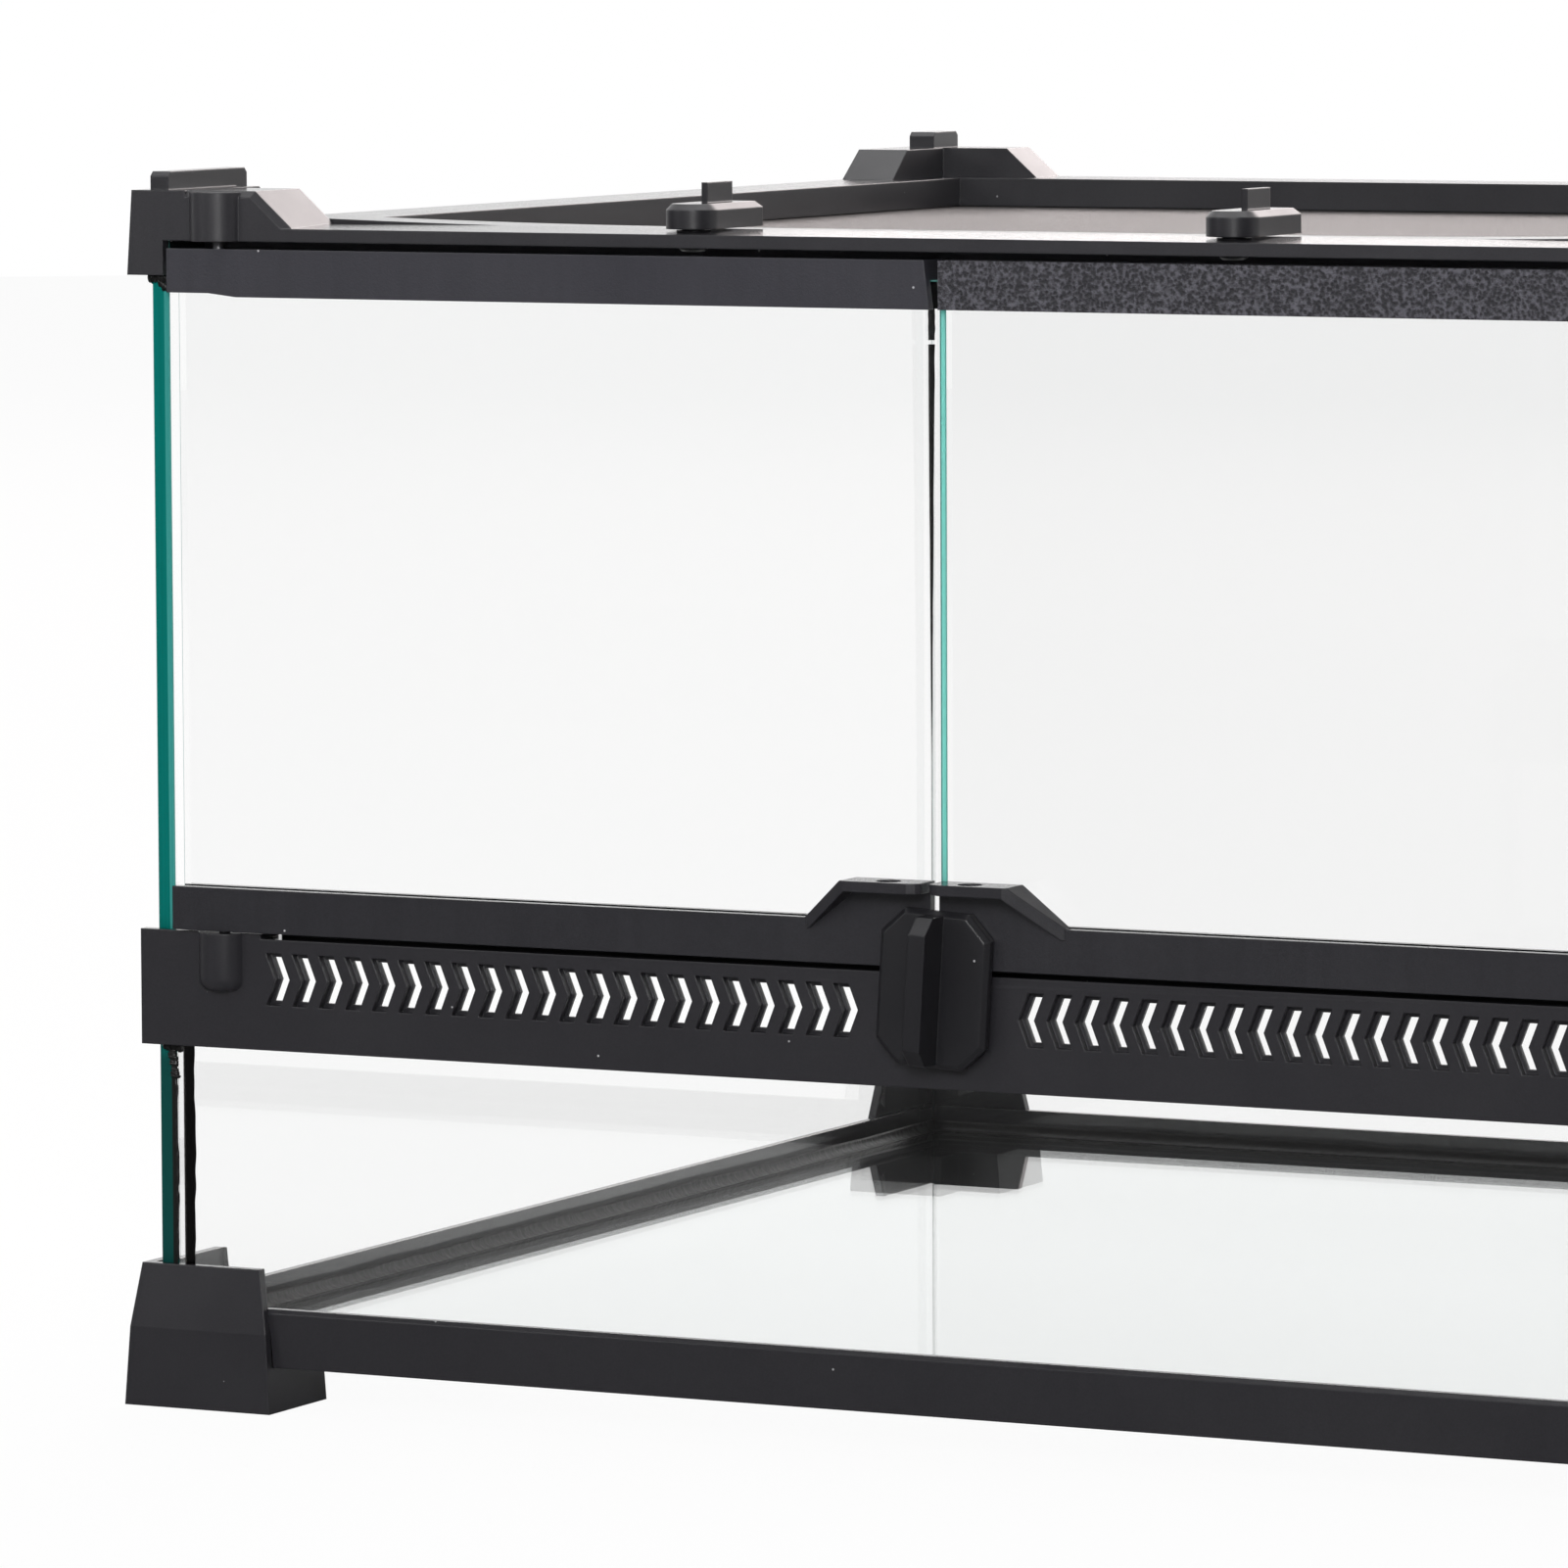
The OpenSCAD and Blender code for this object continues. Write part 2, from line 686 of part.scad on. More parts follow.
// The raised grip plate with its forward lip, which tapers along the slope
module grip() {
    low = door_low + trim_low;
    top = low + grip_rise;
    x1 = -grip_w;
    x2 = x1 - grip_slope;
    along_y(trim_front, slot_front) polygon([[-door_split / 2, low - 1],
        [-door_split / 2, top], [x1, top], [x2, low], [x2, low - 1]]);
    intersection() {
        along_y(-grip_reach, slot_front) grip_band(top);
        translate([0, 0, low - grip_t - 1]) linear_extrude(grip_rise + 2 * grip_t)
            polygon([[-door_split / 2, slot_front], [-door_split / 2, 2 - grip_reach],
                [-door_split / 2 - 1, 1 - grip_reach], [-door_split / 2 - 3, -grip_reach],
                [x1 + 1, -grip_reach], [x1 - 1, 1 - grip_reach], [x2 + 0.5, trim_front - 0.2],
                [x2, slot_front]]);
    }
}

module door_bottom_trim() {
    z1 = door_low + trim_low;
    color(black) centred() difference() {
        union() {
            box(-half_w + door_end, -door_split / 2, trim_front, trim_back, door_low, z1);
            grip();
        }
        trim_groove(door_low + trim_core, z1 + 1);
        translate([-hinge_x, hinge_back, door_low - 1])
            cylinder(r = pin_r + pin_clear, h = pin_reach + 1 + slip);
        translate([-lock_hole_x, -grip_reach + lock_hole_web + lock_hole_d / 2, z1 + grip_rise - grip_t - 1])
            cylinder(d = lock_hole_d, h = grip_t + 2);
    }
}

module left_door_glass() {
    door_pane(glass_reach);
}

module left_door_top_trim() {
    door_top_trim(trim_slant, trim_nick);
}

module left_door_bottom_trim() {
    door_bottom_trim();
}

module right_door_glass() {
    mirror([1, 0, 0]) door_pane(-glass_back_off);
}

module right_door_top_trim() {
    mirror([1, 0, 0]) door_top_trim(0, 0);
}

module right_door_bottom_trim() {
    mirror([1, 0, 0]) door_bottom_trim();
}

// Outline of the latch plate round its pivot, drawn inwards by the given amount
module latch_outline(inset) {
    w = latch_w / 2 - inset;
    up = latch_up - inset;
    down = latch_down - inset;
    cut = latch_cut - inset / 2;
    polygon([[w - cut, up], [w, up - cut], [w, cut - down], [w - cut, -down],
        [cut - w, -down], [-w, cut - down], [-w, up - cut], [cut - w, up]]);
}

// Turns a piece of the latch about its pivot to its lean at rest
module at_latch() {
    centred() translate([0, 0, latch_z]) rotate([0, latch_lean, 0]) children();
}

// The latch: a bevelled plate, a finger fin with cut-off ends, and its shaft
module latch_knob() {
    color(black) at_latch() {
        along_y(latch_front + latch_bevel, latch_back) latch_outline(0);
        hull() {
            along_y(latch_front + latch_bevel, latch_front + latch_bevel + bite) latch_outline(0);
            along_y(latch_front, latch_front + bite) latch_outline(latch_bevel);
        }
        along_x(-fin_t / 2, fin_t / 2) polygon([[latch_front + 0.5, -latch_down + 1],
            [fin_front + 4, -latch_down + 1], [fin_front, -latch_down + 5],
            [fin_front, latch_up - 5], [fin_front + 4, latch_up - 1],
            [latch_front + 0.5, latch_up - 1]]);
        translate([0, latch_back - bite, 0]) rotate([-90, 0, 0])
            cylinder(r = shaft_r, h = skirt_t + 2.4 - latch_back + bite);
        rotate([90, 0, 0]) translate([0, 0, slip])
            cylinder(r = shaft_r + 2.5, h = -latch_back - slip + bite);
    }
}

// Spring clip on the latch's shaft, behind the vent bar
module latch_clip() {
    color(steel) at_latch() rotate([-90, 0, 0])
        translate([0, 0, skirt_t + slip]) difference() {
            cylinder(r = shaft_r + 1.4, h = 1.2);
            translate([0, 0, -1]) cylinder(r = shaft_r + 0.02, h = 3.2);
        }
}

// Height of the lid's front rail at a distance from the middle
function bow(x) = lid_bow * pow(max(0, (abs(x) - bow_start) / (lid_out - bow_start)), 2);

// The lid's frame, with a rebate under its inner edge for the net
module screen_frame() {
    steps = 40;
    top_line = [for (i = [0 : steps]) let (x = -lid_out + 2 * lid_out * i / steps)
        [x, lid_top + bow(x)]];
    inner_x = lid_out - lid_rail;
    y_in0 = lid_y0 + lid_front;
    y_in1 = lid_y1 - lid_rail;
    color(black) centred() difference() {
        union() {
            along_y(lid_y0, y_in0)
                polygon(concat([[-lid_out, lid_z]], top_line, [[lid_out, lid_z]]));
            box(-lid_out, lid_out, y_in0 - 1, lid_y1, lid_z, rim_z);
        }
        box(-inner_x, inner_x, y_in0, y_in1, lid_z - 1, rim_z + 1);
        box(-inner_x - rebate, inner_x + rebate, y_in0 - rebate, y_in1 + rebate,
            lid_z - 1, lid_z + net_t);
    }
}

// The net: a plate with square openings, held in the rebate
module screen_net() {
    x0 = lid_out - lid_rail;
    y0 = lid_y0 + lid_front;
    y1 = lid_y1 - lid_rail;
    step_x = (2 * x0 + net_bar) / net_count;
    step_y = (y1 - y0 + net_bar) / net_count;
    color(net_grey) centred() difference() {
        box(-x0 - rebate, x0 + rebate, y0 - rebate, y1 + rebate, lid_z, lid_z + net_t);
        for (i = [0 : net_count - 1], j = [0 : net_count - 1])
            translate([-x0 + i * step_x, y0 + j * step_y, lid_z - 1])
                cube([step_x - net_bar, step_y - net_bar, net_t + 2]);
    }
}

// Plan of a lid lock: round at its pivot, square at its back, drawn inwards by inset
module lock_plan(inset) {
    circle(r = lock_r - inset);
    translate([inset - lock_r, 0]) square([2 * (lock_r - inset), lock_len - inset]);
}

// A lid lock: chamfered body, thin fin and a snap pivot through the front rail
module screen_lock() {
    body_h = lock_h - lock_chamfer;
    color(black) centred() translate([-lock_x, lock_back, lock_z]) {
        linear_extrude(body_h) lock_plan(0);
        hull() {
            translate([0, 0, body_h - bite]) linear_extrude(bite) lock_plan(0);
            translate([0, 0, lock_h - bite]) linear_extrude(bite) lock_plan(lock_chamfer);
        }
        translate([-lock_fin_t / 2, 6, lock_h - 1])
            cube([lock_fin_t, lock_fin_len, lock_fin_h + 1]);
        translate([0, 0, lip_z - lock_z - slip - 1]) rotate_extrude()
            polygon([[0, 0], [lock_pivot_r - 0.2, 0], [lock_pivot_r + 0.5, 0.6],
                [lock_pivot_r + 0.5, 1], [lock_pivot_r, 1],
                [lock_pivot_r, lock_z - lip_z + slip + 2], [0, lock_z - lip_z + slip + 2]]);
    }
}

module screen_lock_left() {
    screen_lock();
}

module screen_lock_right() {
    mirror([1, 0, 0]) screen_lock();
}

foot_front_left();
foot_front_right();
foot_rear_left();
foot_rear_right();
bottom_rail_front();
bottom_rail_rear();
bottom_rail_left();
bottom_rail_right();
floor_glass();
side_glass_left();
side_glass_right();
rear_glass();
front_lower_glass();
silicone_seams();
vent_bar();
top_frame();
hinge_pins();
left_door_glass();
left_door_top_trim();
left_door_bottom_trim();
right_door_glass();
right_door_top_trim();
right_door_bottom_trim();
latch_knob();
latch_clip();
screen_frame();
screen_net();
screen_lock_left();
screen_lock_right();
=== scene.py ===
import json
import math

import bpy
import numpy as np
from mathutils import Matrix, Vector


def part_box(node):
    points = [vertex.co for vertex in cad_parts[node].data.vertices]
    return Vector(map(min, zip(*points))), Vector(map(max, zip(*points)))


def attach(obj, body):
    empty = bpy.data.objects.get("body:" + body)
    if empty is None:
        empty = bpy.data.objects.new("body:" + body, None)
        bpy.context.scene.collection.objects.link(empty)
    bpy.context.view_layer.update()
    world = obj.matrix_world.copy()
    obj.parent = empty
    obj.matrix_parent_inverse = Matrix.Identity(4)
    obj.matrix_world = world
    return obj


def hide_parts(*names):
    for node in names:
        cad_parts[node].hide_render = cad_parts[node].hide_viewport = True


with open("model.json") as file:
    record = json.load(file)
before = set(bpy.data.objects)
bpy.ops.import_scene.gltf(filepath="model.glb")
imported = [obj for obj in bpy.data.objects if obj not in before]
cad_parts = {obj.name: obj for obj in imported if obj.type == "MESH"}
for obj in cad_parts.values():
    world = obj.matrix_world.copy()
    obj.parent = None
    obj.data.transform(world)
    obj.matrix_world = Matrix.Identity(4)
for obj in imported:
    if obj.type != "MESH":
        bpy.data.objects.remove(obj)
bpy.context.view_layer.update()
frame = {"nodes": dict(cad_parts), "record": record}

# A millimetre in metres, and the seed of every random draw
MM = 0.001
SEED = 18

# A wavering line: the turns of its broadest sine over its length, how fast the finer sines
# weaken, the least strength of one, and what brings their sum down to about one
WAVER_TURNS = 1.7
WAVER_DECAY = 0.6
WAVER_LEAST = 0.4
WAVER_SUM = 2.2

# The photograph's camera in the frame of the model: its place in metres, its turn, dip and roll
# in degrees, its lens and sensor in millimetres, and how far it sees in metres
CAMERA_PLACE = (1.0478, -2.36525, 0.3887)
CAMERA_TURN = 26.92
CAMERA_DIP = 5.30
CAMERA_ROLL = -0.242
CAMERA_LENS = 226.52
CAMERA_SENSOR = 36.0
CAMERA_REACH = 60.0

# The ground edge of the panes, and the heights between which the light in their cut edge fades
ARRIS = 0.25 * MM
EDGE_FADE = (88.0 * MM, 94.0 * MM)

# The sealant's beads: their width round the floor and up the front corners, where they grow by a
# tenth, and their largest and least width up the rear corners; the share of waver in a width
BEAD = 3.1 * MM
FRONT_SWELL = 1.1
WIDE = 1.45 * MM
THIN = 0.12 * MM
BEAD_WAVER = 0.12

# Up the rear corners: where the bead has its break, half the break's height, and where it has
# narrowed to a hair
BREAK_HEIGHT = 251.0 * MM
BREAK_HALF = 0.6 * MM
FINE_HEIGHT = 128.0 * MM

# Smears of sealant: the share of their length over which each end closes and the share of their
# width left there, how far their path wanders, the share by which they swell, and how far their
# middle stands in front of the pane's end
SMEAR_END = 1 / 16
SMEAR_TIP = 0.001
SMEAR_WANDER = 0.3 * MM
SMEAR_SWELL = 0.35
SMEAR_PROUD = 0.1 * MM

# The woven net: its pitch and half the width of a wire along X; and, as shares of that half
# width, half the width and half the depth of a wire along Y and the step between the layers
NET_PITCH = 1.45 * MM
NET_WIRE = 0.19 * MM
CROSS_WIDTH = 1.7
CROSS_DEPTH = 0.6
LAYER_STEP = 1.3

# What is left of the white that mirror rays see in front of the tank, and between which places
# on the way to the front it fades
FRONT_DIM = 0.1
FRONT_FADE = (0.1, -0.15)

# The room's own light, the share of real shade that the floor keeps, the floor's half width and
# the backdrop's form
ROOM_GREY = (0.14, 0.14, 0.145, 1.0)
FLOOR_SHADE = 0.05
FLOOR_REACH = 12.0
WALL_RADIUS = 7.0
WALL_TURN = 75.0
WALL_FOOT = -0.01
WALL_TOP = 5.0

# Lamps: name, place, what it faces, width and height, power, colour
PLAIN, WARM = (1.0, 1.0, 1.0), (1.0, 0.90, 0.885)
LAMPS = [
    ("top_soft", (-0.2, 0.2, 2.4), (0.0, 0.0, 0.2), (2.2, 2.2), 28.0, PLAIN),
    ("left_soft", (-1.7, -1.9, 1.2), (0.0, 0.0, 0.2), (0.5, 1.2), 11.0, PLAIN),
    ("front_soft", (-0.1, -2.3, 1.1), (0.1, 0.0, 0.2), (0.7, 0.7), 9.0, PLAIN),
    ("key_soft", (0.9, -2.22, 0.95), (0.0, 0.0, 0.2), (0.45, 0.6), 27.0, PLAIN),
    ("rear_soft", (0.0, 3.4, 1.9), (0.0, 0.0, 0.25), (4.2, 1.9), 110.0, WARM),
]

# Moulded plastic, as repeats in a metre: its pits, flow marks, clouds and dust
PITS_IN_A_METRE = 1100.0
FLOW_STRETCH = (260.0, 260.0, 22.0)
CLOUDS_IN_A_METRE = 28.0
DUST_IN_A_METRE = 170.0

# A speck of dust: its reach as a share of a cell, the share of the cells that hold one, its colour
DUST_REACH = 0.05
DUST_SHARE = 0.12
DUST_COLOR = (0.45, 0.45, 0.46, 1.0)

# The grain's height where its colour is darkest and where it is palest: that of the fine noise,
# and what a full share of pits and of flow marks adds to it
GRAIN_DARKEST = (0.35, 0.45, 0.4)
GRAIN_PALEST = (0.65, 0.55, 0.6)

# The plastic's roughness at two levels of the clouds, and the part of it that is left where the
# surface faces straight up, falling over a range of facing
CLOUD_LEVELS = (0.3, 0.7)
SATIN = (0.28, 0.38)
UPWARD = (0.8, 1.0)
UPWARD_POLISH = 0.38

# Marks on the other finishes: the streaks of the cut edge, the lumps of the sealant with their
# depth, and the marks of the wire with how far they change its roughness
EDGE_STRETCH = (1500.0, 1500.0, 9.0)
LUMPS_IN_A_METRE = 420.0
LUMP_DEPTH = 0.6 * MM
WIRE_MARKS_IN_A_METRE = 900.0
WIRE_SPREAD = 0.08


# Surfaces

def mesh_object(name, points, faces, materials, rows=None, smooth=False):
    """A mesh object at the origin from whole arrays of points and faces, one material per face row."""
    mesh = bpy.data.meshes.new(name)
    mesh.from_pydata(points.reshape(-1, 3).tolist(), [], [list(f) for f in faces])
    for material in materials:
        mesh.materials.append(material)
    if rows is not None:
        mesh.polygons.foreach_set("material_index", np.asarray(rows, dtype=np.int32))
    mesh.polygons.foreach_set("use_smooth", np.full(len(mesh.polygons), smooth))
    mesh.validate()
    mesh.update()
    piece = bpy.data.objects.new(name, mesh)
    bpy.context.collection.objects.link(piece)
    return piece


def ring_faces(rows, count, first=0):
    """Quads between neighbouring closed rings of points: ring i, point j to ring i+1, point j+1."""
    i, j = np.meshgrid(np.arange(rows - 1), np.arange(count), indexing="ij")
    k = (j + 1) % count
    quads = np.stack([i * count + j, i * count + k, (i + 1) * count + k, (i + 1) * count + j], -1)
    return (quads.reshape(-1, 4) + first).tolist()


def closed_loft(rings, first=0):
    """Faces of a solid skin through rings of equal length, closed by a flat face at each end."""
    rows, count = rings.shape[:2]
    faces = ring_faces(rows, count, first)
    start = list(range(first + count - 1, first - 1, -1))
    last = first + (rows - 1) * count
    return faces + [start, list(range(last, last + count))]


def waver(t, seed, scale=1.0, waves=7):
    """A smooth irregular curve: a sum of sines with seeded phases, each finer one weaker."""
    rng = np.random.default_rng(seed)
    total = np.zeros_like(t)
    for n in range(1, waves + 1):
        wave = np.sin(2 * np.pi * (n * t * WAVER_TURNS + rng.random()))
        total += wave * rng.uniform(WAVER_LEAST, 1.0) / n ** WAVER_DECAY
    return scale * total / WAVER_SUM


# Shader helpers

def new_material(name):
    """A new material, its node tree and its Principled shader."""
    material = bpy.data.materials.new(name)
    material.use_nodes = True
    return material, material.node_tree, material.node_tree.nodes["Principled BSDF"]


def fill(tree, socket, value):
    """Join the socket to an output, or write a plain value into it."""
    if isinstance(value, bpy.types.NodeSocket):
        tree.links.new(value, socket)
    else:
        socket.default_value = value


def add_node(tree, kind, **values):
    """A node of that kind, with its settings and its inputs given by name."""
    node = tree.nodes.new(kind)
    for key, value in values.items():
        if hasattr(node, key):
            setattr(node, key, value)
        else:
            fill(tree, node.inputs[key], value)
    return node


def math_of(tree, operation, first, second):
    """The sum, product or comparison of two values."""
    node = add_node(tree, "ShaderNodeMath", operation=operation)
    fill(tree, node.inputs[0], first)
    fill(tree, node.inputs[1], second)
    return node.outputs[0]


def carried(tree, value, source, target=(0.0, 1.0)):
    """The value carried over in a straight line from one range to another, and held at its ends."""
    node = add_node(tree, "ShaderNodeMapRange")
    for label, number in zip(("From Min", "From Max", "To Min", "To Max"), (*source, *target)):
        fill(tree, node.inputs[label], number)
    tree.links.new(value, node.inputs["Value"])
    return node.outputs["Result"]


def mixed_colors(tree, share, first, second):
    """The first colour, and more of the second as the share grows."""
    node = add_node(tree, "ShaderNodeMix", data_type="RGBA")
    for label, value in (("Factor", share), ("A", first), ("B", second)):
        fill(tree, node.inputs[label], value)
    return node.outputs["Result"]


def noise(tree, place, scale, detail, roughness=0.5):
    """Soft noise at a place, finer as the scale grows."""
    node = add_node(tree, "ShaderNodeTexNoise", Vector=place, Scale=scale, Detail=detail,
                    Roughness=roughness)
    return node.outputs["Fac"]


def stretched(tree, place, scale):
    """The place with each axis scaled by its own number."""
    return add_node(tree, "ShaderNodeMapping", Vector=place, Scale=scale).outputs["Vector"]


def parts_of(tree, vector):
    """The three parts of a place or a direction."""
    return add_node(tree, "ShaderNodeSeparateXYZ", Vector=vector).outputs


def own_place(tree):
    """A point's place in its own object."""
    return add_node(tree, "ShaderNodeTexCoord").outputs["Object"]


def make_group(name, inputs, outputs):
    """An empty node group with named inputs (name, kind, value) and outputs (name, kind)."""
    group = bpy.data.node_groups.new(name, "ShaderNodeTree")
    for label, kind, value in inputs:
        socket = group.interface.new_socket(label, in_out="INPUT", socket_type=kind)
        socket.default_value = value
    for label, kind in outputs:
        group.interface.new_socket(label, in_out="OUTPUT", socket_type=kind)
    given = group.nodes.new("NodeGroupInput").outputs
    return group, given, group.nodes.new("NodeGroupOutput").inputs


def use_group(tree, group, **values):
    """The outputs of the group, placed in a material with its own values."""
    node = tree.nodes.new("ShaderNodeGroup")
    node.node_tree = group
    for label, value in values.items():
        fill(tree, node.inputs[label], value)
    return node.outputs


# Effects that several materials share

FLOAT, COLOR, VECTOR = "NodeSocketFloat", "NodeSocketColor", "NodeSocketVector"
BLACK, WHITE = (0.0, 0.0, 0.0, 1.0), (1.0, 1.0, 1.0, 1.0)


def dust_specks(tree, place):
    """One on small round specks: the heart of a cell, and only in a few of the cells."""
    cells = add_node(tree, "ShaderNodeTexVoronoi", Vector=place, Scale=DUST_IN_A_METRE)
    chance = add_node(tree, "ShaderNodeSeparateColor", Color=cells.outputs["Color"])
    small = math_of(tree, "LESS_THAN", cells.outputs["Distance"], DUST_REACH)
    rare = math_of(tree, "LESS_THAN", chance.outputs["Red"], DUST_SHARE)
    return math_of(tree, "MULTIPLY", small, rare)


def moulded_grain_group():
    """Grain of moulded plastic: a height of fine noise, soft pits and flow marks; a colour that
    goes from dark to pale with the height, with a little dust on it; and a cloudy roughness that
    is less where the surface faces up."""
    group, given, result = make_group(
        "moulded_grain",
        [("Grain", FLOAT, 2400.0), ("Pits", FLOAT, 0.0), ("Flow", FLOAT, 0.3), ("Dust", FLOAT, 0.5),
         ("Dark", COLOR, BLACK), ("Pale", COLOR, WHITE), ("Darkest", FLOAT, 0.35),
         ("Palest", FLOAT, 0.65), ("Facing", VECTOR, (0.0, 0.0, 1.0))],
        [("Height", FLOAT), ("Roughness", FLOAT), ("Color", COLOR)])
    place = own_place(group)
    fine = noise(group, place, given["Grain"], 3.0, 0.6)
    pits = add_node(group, "ShaderNodeTexVoronoi", feature="SMOOTH_F1", Vector=place,
                    Scale=PITS_IN_A_METRE)
    flow = noise(group, stretched(group, place, FLOW_STRETCH), 1.0, 4.0, 0.55)
    cloud = noise(group, place, CLOUDS_IN_A_METRE, 5.0, 0.6)
    pit_part = math_of(group, "MULTIPLY", pits.outputs["Distance"], given["Pits"])
    flow_part = math_of(group, "MULTIPLY", flow, given["Flow"])
    height = math_of(group, "ADD", math_of(group, "ADD", fine, pit_part), flow_part)
    shade = carried(group, height, (given["Darkest"], given["Palest"]))
    body = mixed_colors(group, shade, given["Dark"], given["Pale"])
    dust = math_of(group, "MULTIPLY", dust_specks(group, place), given["Dust"])
    upward = carried(group, parts_of(group, given["Facing"])["Z"], UPWARD, (1.0, UPWARD_POLISH))
    satin = carried(group, cloud, CLOUD_LEVELS, SATIN)
    fill(group, result["Height"], height)
    fill(group, result["Roughness"], math_of(group, "MULTIPLY", satin, upward))
    fill(group, result["Color"], mixed_colors(group, dust, body, DUST_COLOR))
    return group


def cut_edge_group():
    """The colour of a pane's cut edge: streaks along its height between deep and pale, fading to
    a low colour under the vent bar."""
    group, given, result = make_group(
        "cut_edge", [("Deep", COLOR, BLACK), ("Pale", COLOR, WHITE), ("Low", COLOR, BLACK)],
        [("Color", COLOR)])
    place = own_place(group)
    streaks = noise(group, stretched(group, place, EDGE_STRETCH), 1.0, 3.0)
    lit = mixed_colors(group, streaks, given["Deep"], given["Pale"])
    above = carried(group, parts_of(group, place)["Z"], EDGE_FADE)
    fill(group, result["Color"], mixed_colors(group, above, given["Low"], lit))
    return group


def sealant_lumps_group():
    """The normal of cured sealant, tilted by soft lumps."""
    group, given, result = make_group(
        "sealant_lumps", [("Strength", FLOAT, 0.5)], [("Normal", VECTOR)])
    lumps = noise(group, own_place(group), LUMPS_IN_A_METRE, 4.0)
    bump = add_node(group, "ShaderNodeBump", Strength=given["Strength"], Distance=LUMP_DEPTH,
                    Height=lumps)
    fill(group, result["Normal"], bump.outputs["Normal"])
    return group


def wire_marks_group():
    """The roughness of drawn wire: more and less than its own value by fine marks."""
    group, given, result = make_group(
        "wire_marks", [("Roughness", FLOAT, 0.4)], [("Roughness", FLOAT)])
    marks = noise(group, own_place(group), WIRE_MARKS_IN_A_METRE, 3.0)
    change = carried(group, marks, (0.0, 1.0), (-WIRE_SPREAD, WIRE_SPREAD))
    fill(group, result["Roughness"], math_of(group, "ADD", given["Roughness"], change))
    return group


GRAIN = moulded_grain_group()
CUT_EDGE = cut_edge_group()
LUMPS = sealant_lumps_group()
WIRE_MARKS = wire_marks_group()


# Materials

def grain_height(level, pits, flow):
    """The grain's height at a level of the fine noise, raised by the shares of pits and flow
    marks."""
    fine, by_pits, by_flow = level
    return fine + by_pits * pits + by_flow * flow


def moulded_plastic(name, color, grain, pits, flow, depth, dust, edge, mottle=0.12, raised=0.35):
    """Black moulded plastic with rounded edges: its grain is bump and a mottled colour, with
    faint dust on it."""
    material, tree, shader = new_material(name)
    facing = add_node(tree, "ShaderNodeNewGeometry").outputs["Normal"]
    marks = use_group(
        tree, GRAIN, Grain=grain, Pits=pits, Flow=flow, Dust=dust, Facing=facing,
        Dark=(*[channel * (1.0 - mottle) for channel in color], 1.0),
        Pale=(*[channel * (1.0 + mottle) for channel in color], 1.0),
        Darkest=grain_height(GRAIN_DARKEST, pits, flow),
        Palest=grain_height(GRAIN_PALEST, pits, flow))
    fill(tree, shader.inputs["Base Color"], marks["Color"])
    fill(tree, shader.inputs["Roughness"], marks["Roughness"])
    shader.inputs["Specular IOR Level"].default_value = 0.5
    rounded = add_node(tree, "ShaderNodeBevel", samples=6, Radius=edge)
    bump = add_node(tree, "ShaderNodeBump", Strength=raised, Distance=depth,
                    Height=marks["Height"], Normal=rounded.outputs["Normal"])
    fill(tree, shader.inputs["Normal"], bump.outputs["Normal"])
    return material


def clear_glass(name, base, bending):
    """Float glass: clear and smooth, with a slight tint and its own bending of light."""
    material, tree, shader = new_material(name)
    shader.inputs["Base Color"].default_value = base
    shader.inputs["Roughness"].default_value = 0.0
    shader.inputs["IOR"].default_value = bending
    shader.inputs["Transmission Weight"].default_value = 1.0
    return material


def glass_edge(name, deep, pale, roughness, low):
    """The pane's cut edge, where the light that runs inside the glass comes out green; it is
    clear where it is seen from inside the glass."""
    material, tree, shader = new_material(name)
    tint = use_group(tree, CUT_EDGE, Deep=(*deep, 1.0), Pale=(*pale, 1.0), Low=(*low, 1.0))
    fill(tree, shader.inputs["Base Color"], tint["Color"])
    shader.inputs["Roughness"].default_value = roughness
    shader.inputs["Specular IOR Level"].default_value = 0.08
    through = add_node(tree, "ShaderNodeBsdfTransparent")
    side = add_node(tree, "ShaderNodeNewGeometry")
    both = add_node(tree, "ShaderNodeMixShader", Fac=side.outputs["Backfacing"])
    tree.links.new(shader.outputs["BSDF"], both.inputs[1])
    tree.links.new(through.outputs["BSDF"], both.inputs[2])
    tree.links.new(both.outputs["Shader"], tree.nodes["Material Output"].inputs["Surface"])
    return material


def sealant(name, color):
    """Cured silicone: half gloss, softly lumpy."""
    material, tree, shader = new_material(name)
    shader.inputs["Base Color"].default_value = (*color, 1.0)
    shader.inputs["Roughness"].default_value = 0.3
    shader.inputs["Specular IOR Level"].default_value = 0.5
    fill(tree, shader.inputs["Normal"], use_group(tree, LUMPS)["Normal"])
    return material


def metal_wire(name, color, metallic, roughness, shine=0.5):
    """Drawn or coated wire: fine marks vary its roughness."""
    material, tree, shader = new_material(name)
    shader.inputs["Base Color"].default_value = (*color, 1.0)
    shader.inputs["Metallic"].default_value = metallic
    shader.inputs["Specular IOR Level"].default_value = shine
    marks = use_group(tree, WIRE_MARKS, Roughness=roughness)
    fill(tree, shader.inputs["Roughness"], marks["Roughness"])
    return material


